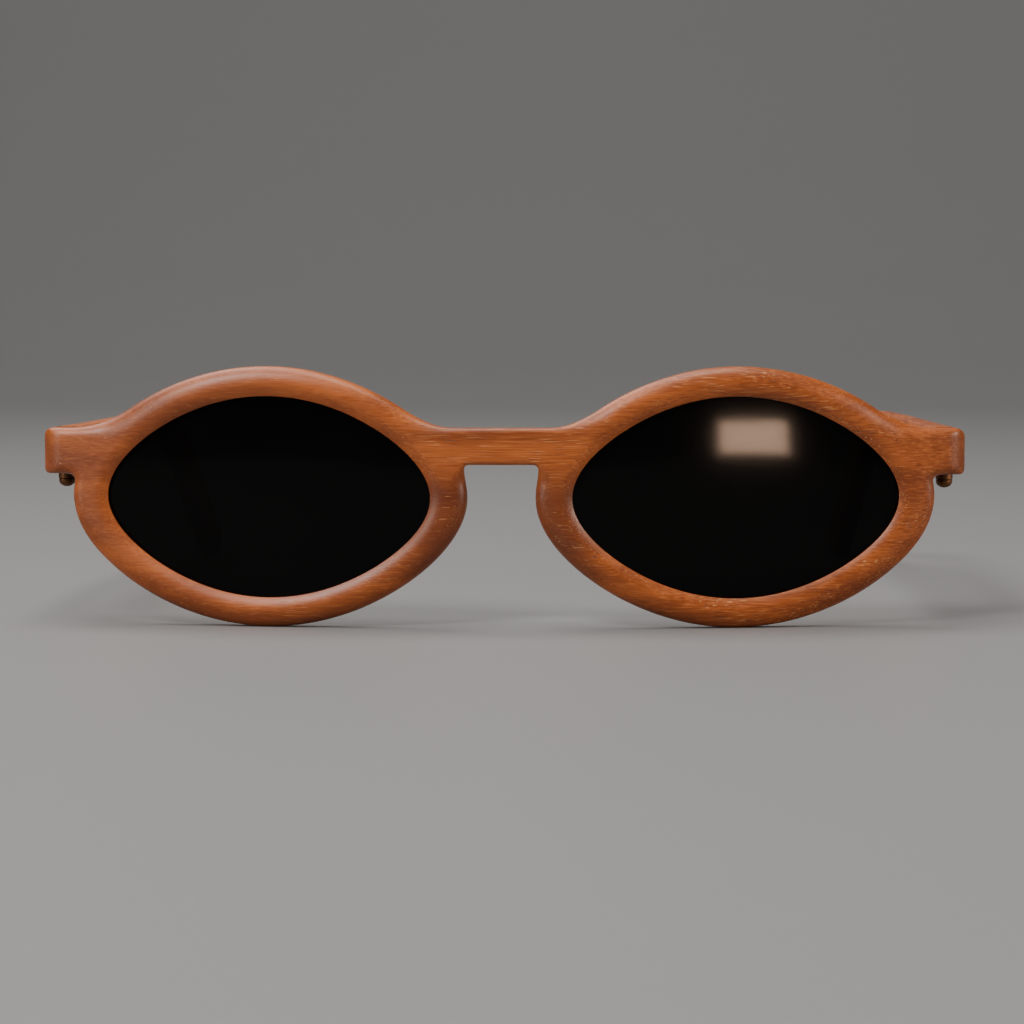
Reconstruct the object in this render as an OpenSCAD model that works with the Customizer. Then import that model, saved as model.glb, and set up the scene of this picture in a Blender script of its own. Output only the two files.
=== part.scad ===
// Wooden sunglasses: a carved one-piece front with two dark oval lenses,
// and two wooden arms on sprung five-piece barrel hinges.
// The glasses stand open on a table: rims and arm tips touch z = 0.
// x runs across the face, y from the front towards the ears, z up.
// Left means the wearer's left, which is +x.

/* [Lenses] */
// Width of the lens opening
lens_w = 51; // [47:0.5:52]
// Height of the lens opening
lens_h = 31.5; // [30:0.5:33]
// Distance between the two lens openings
bridge_gap = 22; // [20:0.5:24]
// Lens thickness
lens_t = 2; // [1.6:0.1:2.2]

/* [Front] */
// Half of the front's overall width
half_w = 72.5; // [71.5:0.5:73.5]
// Rim width on the temple side
rim_temple = 5.6; // [5:0.1:5.8]
// Rim width on the nose side
rim_nose = 5.7; // [5.4:0.1:5.8]
// Rim width over the lens
rim_top = 4.6; // [4.2:0.1:5]
// Rim width under the lens
rim_bottom = 4.6; // [4.2:0.1:5]
// Thickness of the curved blank
front_t = 4; // [3.8:0.1:4.4]
// Radius of the front's wrap round the face
wrap_r = 265; // [240:5:300]
// Forward lean of the front, in degrees
lean = 3; // [2:0.5:6]

/* [Arms] */
// Height of an arm at the hinge
arm_h = 7.2; // [7:0.1:7.4]
// Straight run from the hinge to the bend over the ear
arm_straight = 92; // [86:1:98]
// Radius of the bend over the ear
bend_r = 38; // [32:1:42]
// Angle that the arm bends down by, in degrees
bend_angle = 42; // [38:1:46]
// Radius of the rounded arm tip
tip_r = 3.1; // [2.8:0.1:3.4]

/* [Hinge] */
// Outer radius of the hinge barrel
barrel_r = 1.35; // [1.25:0.05:1.4]
// Radius of the pivot screw
pivot_r = 0.6; // [0.5:0.05:0.65]
// Travel of the sprung slide
flex_travel = 1.4; // [1:0.1:1.6]

/* [Hidden] */
left = 1;
right = -1;
wood = [0.60, 0.32, 0.17];
smoke = [0.04, 0.04, 0.045];
bronze = [0.36, 0.27, 0.18];
steel = [0.62, 0.60, 0.57];
round_fn = 64;
wrap_fn = 240;
eps = 0.05;

// Lens and rim ovals, about each lens's own centre, with +x towards the ear
lens_x = (lens_w + bridge_gap) / 2;
lens_z = lens_h / 2 + rim_bottom;
pinch_lens = 0.195;
pinch_rim = [0.12, 0.13, 0.16];
rim_a = [lens_w / 2 + rim_temple, lens_w / 2 + rim_nose];
rim_b = [lens_h / 2 + rim_top, lens_h / 2 + rim_bottom];
oval_step = 5;
rim_step = 4;

// Heights over the lens centre
bridge_top = 10.9;
bridge_under = 5.2;
end_top = 10.5;
end_under = end_top - arm_h;
notch_half = 5.75;
notch_corner_r = 0.7;
end_top_r = 1.5;
end_under_r = 0.8;
shoulder_angle = 46;
bridge_angle = 133;
// How far from the lens centre each blend into the rim starts and has its corner
shoulder_run = [31.6, 26.5];
bridge_run = [28.9, 25.6];

// Places along y
front_lead = bridge_top * tan(lean);
end_face = 14.5;
joint_gap = 0.15;
arm_drop = lens_z + end_top - arm_h / 2 - tip_r;
tail = (arm_drop - bend_r * (1 - cos(bend_angle))) / sin(bend_angle);
reach = arm_straight + bend_r * sin(bend_angle) + tail * cos(bend_angle) + tip_r;
y0 = (front_lead - end_face - joint_gap - reach) / 2;
face_y = y0 + end_face;
arm_y = face_y + joint_gap;

// Hinge, on the left side
pivot_x = half_w - 2.7;
pivot_y = face_y + 3;
arm_inner = half_w - 4.6;
arm_under = lens_z + end_under;
arm_z = arm_under + arm_h / 2;
hinge_z = arm_under + 2.6;
knuckle_h = 2.2;
knuckle_gap = 0.1;
plate_t = 0.8;
plate_under = arm_under + 0.4;
lower_h = 2.5;
upper_knuckle = [hinge_z + knuckle_h / 2 + knuckle_gap, 2];
lower_knuckle = [hinge_z - knuckle_h / 2 - knuckle_gap - lower_h, lower_h];
nut_h = 1.3;
screw_len = upper_knuckle[0] + upper_knuckle[1] - lower_knuckle[0] + nut_h - 0.1;
fit = 0.05;
screw_r = 0.5;
head_r = 0.95;
plate_screw_x = [half_w - 8.6, half_w - 5.4];
plate_screw_len = 3.6;

// Spring housing, on the left side
housing_y = pivot_y + 2.2;
housing_l = 13;
housing_w = 3.2;
housing_h = 3.8;
slide_x = arm_inner + housing_w / 2;
shank = [1.5, 2];
guide_l = 3.2;
chamber_r = 1.25;
chamber_l = 8.8;
rod_r = 0.5;
rod_end = 11;
stop_r = 1.1;
stop_t = 0.9;
spring_r = 0.95;
wire_r = 0.14;
spring_turns = 8;
tab_t = 0.8;
tab_l = 9;
tab_h = 2.6;
tab_screw_y = [2.5, 6.5];
tab_screw_len = 3.2;

function bez2(a, b, c, n) = [for (i = [0:n]) let (t = i / n)
    a * pow(1 - t, 2) + b * 2 * t * (1 - t) + c * t * t];

function bez3(a, b, c, d, n) = [for (i = [0:n]) let (t = i / n)
    a * pow(1 - t, 3) + b * 3 * t * pow(1 - t, 2) + c * 3 * t * t * (1 - t) + d * pow(t, 3)];

function arc(cx, cy, r, from, to, n) = [for (i = [0:n]) let (t = from + (to - from) * i / n)
    [cx + r * cos(t), cy + r * sin(t)]];

// A point of a pinched oval: a and b are its half axes, and pinch draws its ends in
function oval(t, a, b, pinch) = [a * cos(t), b * sin(t) * (1 - pinch * pow(cos(t), 2))];

// The rim is pinched differently over and under its ear end, and at its nose end
function rim_pinch(t) = cos(t) < 0 ? pinch_rim[2] : sin(t) > 0 ? pinch_rim[0] : pinch_rim[1];

function rim_point(t) = [lens_x, 0] + oval(t, cos(t) > 0 ? rim_a[0] : rim_a[1],
    sin(t) > 0 ? rim_b[0] : rim_b[1], rim_pinch(t));

function lens_outline(grow) = [for (t = [0:oval_step:359]) [lens_x, 0] +
    oval(t, lens_w / 2 + grow, lens_h / 2 + grow, pinch_lens)];

// The left half of the front's outline, from under the bridge round to its top
function half_outline() = concat(
    arc(notch_half - notch_corner_r, bridge_under - notch_corner_r, notch_corner_r, 90, 0, 5),
    bez3([notch_half, bridge_under - notch_corner_r - 0.1], [notch_half, bridge_under - 2.2],
        rim_point(180) + [0, 1.8], rim_point(180), 6),
    [for (t = [180 + rim_step:rim_step:364]) rim_point(t)],
    bez2(rim_point(8), [lens_x + rim_a[0] + 0.1, end_under], [lens_x + rim_a[0] + 1, end_under], 4),
    arc(half_w - end_under_r, end_under + end_under_r, end_under_r, -90, 0, 5),
    arc(half_w - end_top_r, end_top - end_top_r, end_top_r, 0, 90, 6),
    bez2([lens_x + shoulder_run[0], end_top], [lens_x + shoulder_run[1], end_top],
        rim_point(shoulder_angle), 10),
    [for (t = [shoulder_angle + rim_step:rim_step:bridge_angle - 1]) rim_point(t)],
    bez2(rim_point(bridge_angle), [lens_x - bridge_run[1], bridge_top],
        [lens_x - bridge_run[0], bridge_top], 8)
);

function whole_outline() = let (half = half_outline(), n = len(half))
    concat(half, [for (i = [n - 1:-1:0]) [-half[i][0], half[i][1]]]);

// Puts a shape drawn as [x, height over the lens centre] into the front, cut straight along y
module cut_along_y(depth = 22)
    translate([0, y0 + depth - 3, lens_z]) rotate([90, 0, 0]) linear_extrude(height = depth) children();

// The curved, leaning blank between two depths from its front face
module blank(from, to)
    translate([0, y0, lens_z]) rotate([lean, 0, 0]) translate([0, wrap_r, -40])
        difference() {
            cylinder(h = 80, r = wrap_r - from, $fn = wrap_fn);
            translate([0, 0, -1]) cylinder(h = 82, r = wrap_r - to, $fn = wrap_fn);
        }

module on_side(side)
    if (side == left) children();
    else mirror([1, 0, 0]) children();

module along_y(y, x, z) translate([x, y, z]) rotate([-90, 0, 0]) children();

// The thick block behind each end of the front, which the hinge is screwed to
module end_block()
    intersection() {
        cut_along_y() polygon(whole_outline());
        translate([half_w - 10.5, y0 + 10, arm_under - 1]) cube([11, end_face - 10, arm_h + 2]);
    }

// The carved nose rest on the back of each rim
module nose_rest()
    intersection() {
        cut_along_y() polygon(whole_outline());
        cut_along_y() translate([notch_half + 1.6, -4.5]) scale([0.5, 1]) circle(r = 8, $fn = 48);
        blank(front_t - 0.5, front_t + 1.8);
    }

module frame_front()
    color(wood) difference() {
        union() {
            intersection() {
                cut_along_y() polygon(whole_outline());
                blank(0, front_t);
            }
            for (side = [left, right]) on_side(side) {
                end_block();
                nose_rest();
            }
        }
        for (side = [left, right]) on_side(side) {
            cut_along_y() polygon(lens_outline(0));
            intersection() {
                cut_along_y() polygon(lens_outline(0.9));
                blank(1.5, 2.5);
            }
            for (x = plate_screw_x)
                along_y(face_y - plate_screw_len + plate_t - 0.3, x, arm_z - 0.3)
                    cylinder(h = 6, r = screw_r + 0.02, $fn = round_fn);
        }
    }

// A lens plate with a thin tongue round its edge, which sits in the rim's groove
module lens(side)
    color(smoke) on_side(side) union() {
        intersection() {
            cut_along_y() polygon(lens_outline(-0.08));
            blank(1, 1 + lens_t);
        }
        intersection() {
            cut_along_y() polygon(lens_outline(0.8));
            blank(1.55, 2.45);
        }
    }

// One barrel knuckle, standing on the plate by its web
module plate_knuckle(z, h) {
    translate([pivot_x, pivot_y, z]) cylinder(h = h, r = barrel_r, $fn = round_fn);
    translate([pivot_x - 1.3, face_y, max(z, plate_under)])
        cube([2.6, pivot_y - face_y, h - (max(z, plate_under) - z)]);
}

module countersunk_hole()
    union() {
        translate([0, 0, -3]) cylinder(h = 4, r = screw_r + 0.05, $fn = round_fn);
        translate([0, 0, -0.5]) cylinder(h = 0.55, r1 = screw_r, r2 = head_r + 0.05, $fn = round_fn);
    }

// A slotted countersunk screw whose head lies at the origin and which points to -z
module countersunk_screw(length)
    difference() {
        union() {
            translate([0, 0, -0.5]) cylinder(h = 0.5, r1 = screw_r, r2 = head_r, $fn = round_fn);
            translate([0, 0, -length + 0.8]) cylinder(h = length - 1.2, r = screw_r, $fn = round_fn);
            translate([0, 0, -length]) cylinder(h = 0.85, r1 = 0.08, r2 = screw_r, $fn = round_fn);
        }
        translate([-1.2, -0.12, -0.25]) cube([2.4, 0.24, 0.4]);
    }

// The hinge half that stays on the front: a plate and two knuckles
module hinge_plate(side)
    color(bronze) on_side(side) difference() {
        union() {
            translate([half_w - 9.9, face_y, plate_under])
                cube([8.5, plate_t, upper_knuckle[0] + upper_knuckle[1] - plate_under]);
            plate_knuckle(upper_knuckle[0], upper_knuckle[1]);
            plate_knuckle(lower_knuckle[0], lower_knuckle[1]);
        }
        translate([pivot_x, pivot_y, lower_knuckle[0] - 1])
            cylinder(h = 12, r = pivot_r + fit, $fn = round_fn);
        for (x = plate_screw_x)
            along_y(face_y + plate_t, x, arm_z - 0.3) countersunk_hole();
    }

module plate_screws(side)
    color(steel) on_side(side)
        for (x = plate_screw_x)
            along_y(face_y + plate_t, x, arm_z - 0.3) countersunk_screw(plate_screw_len);

// The pivot screw has a slotted cheese head on top
module pivot_screw(side)
    color(steel) on_side(side) translate([pivot_x, pivot_y, 0]) difference() {
        union() {
            translate([0, 0, lower_knuckle[0] - nut_h + 0.2])
                cylinder(h = screw_len, r = pivot_r, $fn = round_fn);
            translate([0, 0, upper_knuckle[0] + upper_knuckle[1]])
                cylinder(h = 0.7, r = 1.2, $fn = round_fn);
        }
        translate([-1.5, -0.15, upper_knuckle[0] + upper_knuckle[1] + 0.35]) cube([3, 0.3, 1]);
    }

// The domed lock nut under the barrel
module pivot_nut(side)
    color(bronze) on_side(side) translate([pivot_x, pivot_y, lower_knuckle[0] - 0.05 - nut_h])
        difference() {
            union() {
                translate([0, 0, 0.5]) cylinder(h = nut_h - 0.5, r = barrel_r - 0.05, $fn = round_fn);
                cylinder(h = 0.5, r1 = 0.8, r2 = barrel_r - 0.05, $fn = round_fn);
            }
            translate([0, 0, 0.2]) cylinder(h = nut_h, r = pivot_r + 0.02, $fn = round_fn);
        }

// The hinge half on the arm: one knuckle on a shank and rod that slide in the housing
module hinge_slider(side)
    color(bronze) on_side(side) difference() {
        union() {
            translate([pivot_x, pivot_y, hinge_z - knuckle_h / 2])
                cylinder(h = knuckle_h, r = barrel_r, $fn = round_fn);
            translate([slide_x - shank[0] / 2, pivot_y, hinge_z - shank[1] / 2])
                cube([shank[0], housing_y + guide_l - 0.3 - pivot_y, shank[1]]);
            along_y(housing_y + guide_l - 0.5, slide_x, hinge_z)
                cylinder(h = rod_end - guide_l + 0.5, r = rod_r, $fn = round_fn);
        }
        translate([pivot_x, pivot_y, hinge_z - 3]) cylinder(h = 6, r = pivot_r + fit, $fn = round_fn);
    }

// The ring riveted on the rod's end, which the spring pushes on
module spring_stop(side)
    color(steel) on_side(side) along_y(housing_y + rod_end - 0.1 - stop_t, slide_x, hinge_z)
        difference() {
            cylinder(h = stop_t, r = stop_r, $fn = round_fn);
            translate([0, 0, -1]) cylinder(h = 3, r = rod_r + 0.02, $fn = round_fn);
        }

// A wire swept along a helix about z, as one closed tube
module coil(mean_r, wire, height, turns) {
    sides = 8;
    rings = turns * 20;
    points = [for (i = [0:rings]) let (turn = 360 * turns * i / rings, z = height * i / rings)
        for (j = [0:sides - 1]) let (a = 360 * j / sides, r = mean_r + wire * cos(a))
            [r * cos(turn), r * sin(turn), z + wire * sin(a)]];
    walls = [for (i = [0:rings - 1]) for (j = [0:sides - 1]) let (k = (j + 1) % sides)
        [i * sides + j, i * sides + k, (i + 1) * sides + k, (i + 1) * sides + j]];
    ends = [[for (j = [sides - 1:-1:0]) j], [for (j = [0:sides - 1]) rings * sides + j]];
    polyhedron(points, concat(walls, ends), convexity = 8);
}

module flex_spring(side) {
    from = guide_l + wire_r + 0.06;
    to = rod_end - 0.1 - stop_t - wire_r - 0.06;
    color(steel) on_side(side) along_y(housing_y + from, slide_x, hinge_z)
        coil(spring_r, wire_r, to - from, spring_turns);
}

// The metal case let into the arm, with a screwed tab behind it
module spring_housing(side)
    color(bronze) on_side(side) difference() {
        union() {
            translate([arm_inner, housing_y, hinge_z - housing_h / 2])
                cube([housing_w, housing_l, housing_h]);
            translate([arm_inner, housing_y + housing_l - 1, hinge_z - tab_h / 2])
                cube([tab_t, tab_l + 1, tab_h]);
        }
        translate([slide_x - shank[0] / 2 - fit, housing_y - 1, hinge_z - shank[1] / 2 - fit])
            cube([shank[0] + 2 * fit, guide_l + 1.5, shank[1] + 2 * fit]);
        along_y(housing_y + guide_l, slide_x, hinge_z)
            cylinder(h = chamber_l, r = chamber_r, $fn = round_fn);
        for (y = tab_screw_y) tab_screw_place(y) countersunk_hole();
    }

module tab_screw_place(y)
    translate([arm_inner, housing_y + housing_l + y, hinge_z]) rotate([0, -90, 0]) children();

module housing_screws(side)
    color(steel) on_side(side)
        for (y = tab_screw_y) tab_screw_place(y) countersunk_screw(tab_screw_len);

// Height of the arm at a share s of its length
function arm_height(s) = arm_h - 1.6 * sin(90 * min(1, s / 0.45)) + 0.9 * pow(max(0, (s - 0.6) / 0.4), 2);

arm_arc = bend_r * bend_angle * PI / 180;
arm_length = arm_straight + arm_arc + tail;

// [y, z, angle] of the arm's centre line at a distance along it
function arm_centre(d) = d < arm_straight ? [d, 0, 0]
    : d < arm_straight + arm_arc ? let (a = (d - arm_straight) / bend_r * 180 / PI)
        [arm_straight + bend_r * sin(a), -bend_r * (1 - cos(a)), a]
    : let (e = d - arm_straight - arm_arc)
        [arm_straight + bend_r * sin(bend_angle) + e * cos(bend_angle),
         -bend_r * (1 - cos(bend_angle)) - e * sin(bend_angle), bend_angle];

function arm_edge(d, way) = let (c = arm_centre(d), h = min(arm_height(d / arm_length), arm_h) / 2,
    half = d > arm_length - 1 ? tip_r : h)
    [c[0] + way * half * sin(c[2]), c[1] + way * half * cos(c[2])];

module arm_side_profile() {
    top = [for (d = [0:4:arm_length - 4]) arm_edge(d, 1)];
    under = [for (d = [0:4:arm_length - 4]) arm_edge(d, -1)];
    tip = arm_centre(arm_length);
    round_tip = [for (a = [90 - tip[2]:-6:-90 - tip[2]]) [tip[0] + tip_r * cos(a), tip[1] + tip_r * sin(a)]];
    polygon(concat(top, round_tip, [for (i = [len(under) - 1:-1:0]) under[i]]));
}

// Offsets of the arm's outer and inner faces at a distance behind the hinge
function arm_outer(y) = half_w - 0.0008 * pow(max(0, y - 28), 2);
function arm_thick(y) = 4.6 - 0.8 * sin(90 * min(1, max(0, (y - 28) / 40)));

module arm_top_profile() {
    outer = [for (y = [0:4:reach + 4]) [arm_outer(y), y]];
    inner = [for (y = [0:4:reach + 4]) [arm_outer(y) - arm_thick(y), y]];
    polygon(concat(outer, [for (i = [len(inner) - 1:-1:0]) inner[i]]));
}

module arm(side)
    color(wood) on_side(side) difference() {
        intersection() {
            translate([0, arm_y, arm_z]) rotate([90, 0, 90]) linear_extrude(height = half_w + 5)
                arm_side_profile();
            translate([0, arm_y, -1]) linear_extrude(height = 60) arm_top_profile();
        }
        translate([arm_inner - 1, arm_y - 1, arm_under - 1])
            cube([pivot_x + 1.45 - arm_inner + 1, housing_y - arm_y + 1.05, arm_h + 2]);
        translate([arm_inner - 1, housing_y - 1, hinge_z - housing_h / 2 - eps])
            cube([housing_w + 1 + eps, housing_l + 1 + eps, housing_h + 2 * eps]);
        translate([arm_inner - 1, housing_y, hinge_z - tab_h / 2 - eps])
            cube([tab_t + 1 + eps, housing_l + tab_l + eps, tab_h + 2 * eps]);
        for (y = tab_screw_y) tab_screw_place(y) translate([0, 0, -tab_screw_len - 0.1])
            cylinder(h = 4, r = screw_r + 0.02, $fn = round_fn);
    }

frame_front();
lens(left);  // left_lens
lens(right);  // right_lens
hinge_plate(left);  // left_hinge_plate
hinge_plate(right);  // right_hinge_plate
plate_screws(left);  // left_plate_screws
plate_screws(right);  // right_plate_screws
pivot_screw(left);  // left_pivot_screw
pivot_screw(right);  // right_pivot_screw
pivot_nut(left);  // left_pivot_nut
pivot_nut(right);  // right_pivot_nut
hinge_slider(left);  // left_hinge_slider
hinge_slider(right);  // right_hinge_slider
flex_spring(left);  // left_flex_spring
flex_spring(right);  // right_flex_spring
spring_stop(left);  // left_spring_stop
spring_stop(right);  // right_spring_stop
spring_housing(left);  // left_spring_housing
spring_housing(right);  // right_spring_housing
housing_screws(left);  // left_housing_screws
housing_screws(right);  // right_housing_screws
arm(left);  // left_arm
arm(right);  // right_arm
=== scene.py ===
import math

import bmesh
import bpy
import numpy as np
from mathutils import Euler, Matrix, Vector
from mathutils.geometry import delaunay_2d_cdt


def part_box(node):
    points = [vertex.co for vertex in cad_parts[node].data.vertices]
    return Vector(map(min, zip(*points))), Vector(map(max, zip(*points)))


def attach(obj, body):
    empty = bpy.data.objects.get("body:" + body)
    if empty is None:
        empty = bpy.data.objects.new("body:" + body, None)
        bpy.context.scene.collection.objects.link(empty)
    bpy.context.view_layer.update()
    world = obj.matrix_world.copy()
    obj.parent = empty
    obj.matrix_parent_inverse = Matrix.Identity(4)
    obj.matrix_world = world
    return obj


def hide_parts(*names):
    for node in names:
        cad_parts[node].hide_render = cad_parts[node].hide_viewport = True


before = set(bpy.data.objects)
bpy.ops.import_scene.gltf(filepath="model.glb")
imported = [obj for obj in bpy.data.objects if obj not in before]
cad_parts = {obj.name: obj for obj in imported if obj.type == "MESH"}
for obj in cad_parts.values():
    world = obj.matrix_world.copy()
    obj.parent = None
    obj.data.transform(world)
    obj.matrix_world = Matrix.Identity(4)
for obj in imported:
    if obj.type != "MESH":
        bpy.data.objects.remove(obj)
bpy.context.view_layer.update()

MM = 0.001
LEFT, RIGHT = 1, -1

# ---------------------------------------------------------------- sizes, in mm
# The front and the arms follow the same formulas as the CAD part.
# x runs across the face, y towards the ears, z up, and w is the height over the lens centre.
# the lens openings and the gap between them, half of the front's width, and the rims' widths
LENS_W, LENS_H, GAP = 51.0, 31.5, 22.0
HALF_W = 72.5
RIM_TEMPLE, RIM_NOSE, RIM_TOP, RIM_BOTTOM = 5.6, 5.7, 4.6, 4.6
# the curved blank's thickness, the radius of its wrap round the face, and its forward lean
FRONT_T, WRAP_R, LEAN = 4.0, 265.0, math.radians(3.0)
# heights over the lens centre, the notch for the nose, and the end pieces' corners and depth
BRIDGE_TOP, BRIDGE_UNDER, END_TOP, ARM_H = 10.9, 5.2, 10.5, 7.2
NOTCH_HALF, NOTCH_R = 5.75, 0.7
END_TOP_R, END_UNDER_R, END_FACE = 1.5, 0.8, 14.5
# degrees round the rim where it blends into the end piece, from below and from above, and
# into the bridge, and how far from the lens centre each blend starts and has its corner
UNDER_END, SHOULDER, BRIDGE = 8, 46, 133
SHOULDER_RUN, BRIDGE_RUN = (31.6, 26.5), (28.9, 25.6)
# how far past the rim's ear end the blend under the end piece has its corner and its end
UNDER_RUN = (0.1, 1)
# the notch runs into the rim's nose side after a short straight, as a curve with two handles
NOTCH_STRAIGHT, NOTCH_HANDLE, RIM_HANDLE = 0.1, 2.2, 1.8
# how far the ovals' ends are drawn in
PINCH_LENS, PINCH_TOP, PINCH_UNDER, PINCH_NOSE = 0.195, 0.12, 0.13, 0.16
LENS_X = (LENS_W + GAP) / 2
END_UNDER = END_TOP - ARM_H
# the groove that holds each lens: how far it reaches past the opening, and its two walls
GROOVE, GROOVE_FRONT, GROOVE_BACK, GROOVE_SLOPE = 0.9, 1.5, 2.5, 0.05

_, front_hi = (Vector(c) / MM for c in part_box("frame_front"))
FACE_Y = front_hi.y
Y0 = FACE_Y - END_FACE
LENS_Z = front_hi.z - (LENS_H / 2 + RIM_TOP)
ARM_UNDER = LENS_Z + END_UNDER


def smooth(t):
    """An S-shaped step from 0 to 1, held flat at both ends."""
    t = np.clip(t, 0.0, 1.0)
    return t * t * (3 - 2 * t)


# ---------------------------------------------------------------- camera
CAMERA_X, CAMERA_AWAY, CAMERA_Z = 16.6, 550.0, 54.0
PITCH, TURN = math.radians(3.71), math.radians(1.55)
FOCAL, SENSOR = 125.6, 36.0

camera_data = bpy.data.cameras.new("camera")
camera_data.lens = FOCAL
camera_data.sensor_width = SENSOR
camera_data.clip_start, camera_data.clip_end = 0.01, 50.0
camera = bpy.data.objects.new("camera", camera_data)
bpy.context.collection.objects.link(camera)
camera.location = Vector((CAMERA_X, Y0 - CAMERA_AWAY, CAMERA_Z)) * MM
camera.rotation_euler = Euler((math.radians(90) - PITCH, 0, TURN), "XYZ")
bpy.context.scene.camera = camera


# ---------------------------------------------------------------- node helpers
class Nodes:
    """A small writer for one material's node tree."""

    def __init__(self, name):
        self.material = bpy.data.materials.new(name)
        self.material.use_nodes = True
        self.tree = self.material.node_tree
        self.tree.nodes.clear()
        self.out = self.add("ShaderNodeOutputMaterial")
        self.shader = self.add("ShaderNodeBsdfPrincipled")
        self.link(self.shader.outputs["BSDF"], self.out.inputs["Surface"])

    def add(self, kind, **values):
        node = self.tree.nodes.new(kind)
        for key, value in values.items():
            setattr(node, key, value)
        return node

    def link(self, a, b):
        self.tree.links.new(a, b)

    def put(self, socket, value):
        if isinstance(value, bpy.types.NodeSocket):
            self.link(value, socket)
        else:
            socket.default_value = value

    def place(self, stretch, turn=(0, 0, 0), shift=(0, 0, 0), follow=0.0):
        """Object coordinates in mm, stretched: a small factor makes long features.

        follow is the share of the front's wrap that the pattern bends with.
        """
        vector = self.add("ShaderNodeTexCoord").outputs["Object"]
        if follow:
            bent = self.add("ShaderNodeCombineXYZ")
            x = self.axis("X")
            sag = self.math("MULTIPLY", self.math("MULTIPLY", x, x), follow / (2 * WRAP_R * MM))
            self.link(x, bent.inputs["X"])
            self.link(self.math("SUBTRACT", self.axis("Y"), sag), bent.inputs["Y"])
            self.link(self.axis("Z"), bent.inputs["Z"])
            vector = bent.outputs["Vector"]
        mapping = self.add("ShaderNodeMapping")
        mapping.inputs["Scale"].default_value = [s / MM for s in stretch]
        mapping.inputs["Rotation"].default_value = [math.radians(a) for a in turn]
        mapping.inputs["Location"].default_value = shift
        self.link(vector, mapping.inputs["Vector"])
        return mapping.outputs["Vector"]

    def axis(self, letter):
        """One object coordinate, in metres."""
        split = self.add("ShaderNodeSeparateXYZ")
        self.link(self.add("ShaderNodeTexCoord").outputs["Object"], split.inputs["Vector"])
        return split.outputs[letter]

    def noise(self, vector, detail=2.0, rough=0.5, distort=0.0):
        """Noise, mostly from 0.3 to 0.7, with features about one unit of the vector long."""
        node = self.add("ShaderNodeTexNoise")
        self.link(vector, node.inputs["Vector"])
        node.inputs["Scale"].default_value = 1.0
        node.inputs["Detail"].default_value = detail
        node.inputs["Roughness"].default_value = rough
        node.inputs["Distortion"].default_value = distort
        return node.outputs["Fac"]

    def band(self, value, low, high, to_low=0.0, to_high=1.0):
        """A smooth step of a value, from to_low at low to to_high at high."""
        node = self.add("ShaderNodeMapRange", clamp=True, interpolation_type="SMOOTHSTEP")
        self.link(value, node.inputs["Value"])
        node.inputs["From Min"].default_value = low
        node.inputs["From Max"].default_value = high
        node.inputs["To Min"].default_value = to_low
        node.inputs["To Max"].default_value = to_high
        return node.outputs["Result"]

    def math(self, kind, a, b=0.0):
        node = self.add("ShaderNodeMath", operation=kind)
        for socket, value in zip(node.inputs, (a, b)):
            self.put(socket, value)
        return node.outputs["Value"]

    def mix(self, share, a, b):
        """A colour that is a, with a share of b over it."""
        node = self.add("ShaderNodeMix", data_type="RGBA", blend_type="MIX")
        for key, value in (("Factor", share), ("A", a), ("B", b)):
            socket = [s for s in node.inputs if s.name == key and s.enabled][0]
            self.put(socket, value if not isinstance(value, tuple) else (*value, 1.0))
        return [s for s in node.outputs if s.enabled][0]

    def bump(self, height, distance, strength):
        node = self.add("ShaderNodeBump")
        node.inputs["Strength"].default_value = strength
        node.inputs["Distance"].default_value = distance
        self.link(height, node.inputs["Height"])
        return node.outputs["Normal"]

    def set(self, name, value):
        self.put(self.shader.inputs[name], value)


# ---------------------------------------------------------------- materials
LIGHT_WOOD, DARK_WOOD = (0.33, 0.078, 0.013), (0.165, 0.034, 0.005)
RING, DARK_FIBRE, LIGHT_FIBRE = (0.135, 0.026, 0.005), (0.11, 0.022, 0.004), (0.46, 0.14, 0.03)
# the colour laid beside the nose is painted shade, for the nasal sides that face away from the light
# above
PAINTED_NOSE_SHADE, FLECK, PORE = (0.085, 0.016, 0.003), (0.72, 0.38, 0.16), (0.035, 0.009, 0.003)
GRAIN_DEPTH, SCRATCH_DEPTH = 0.05, 0.006


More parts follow.
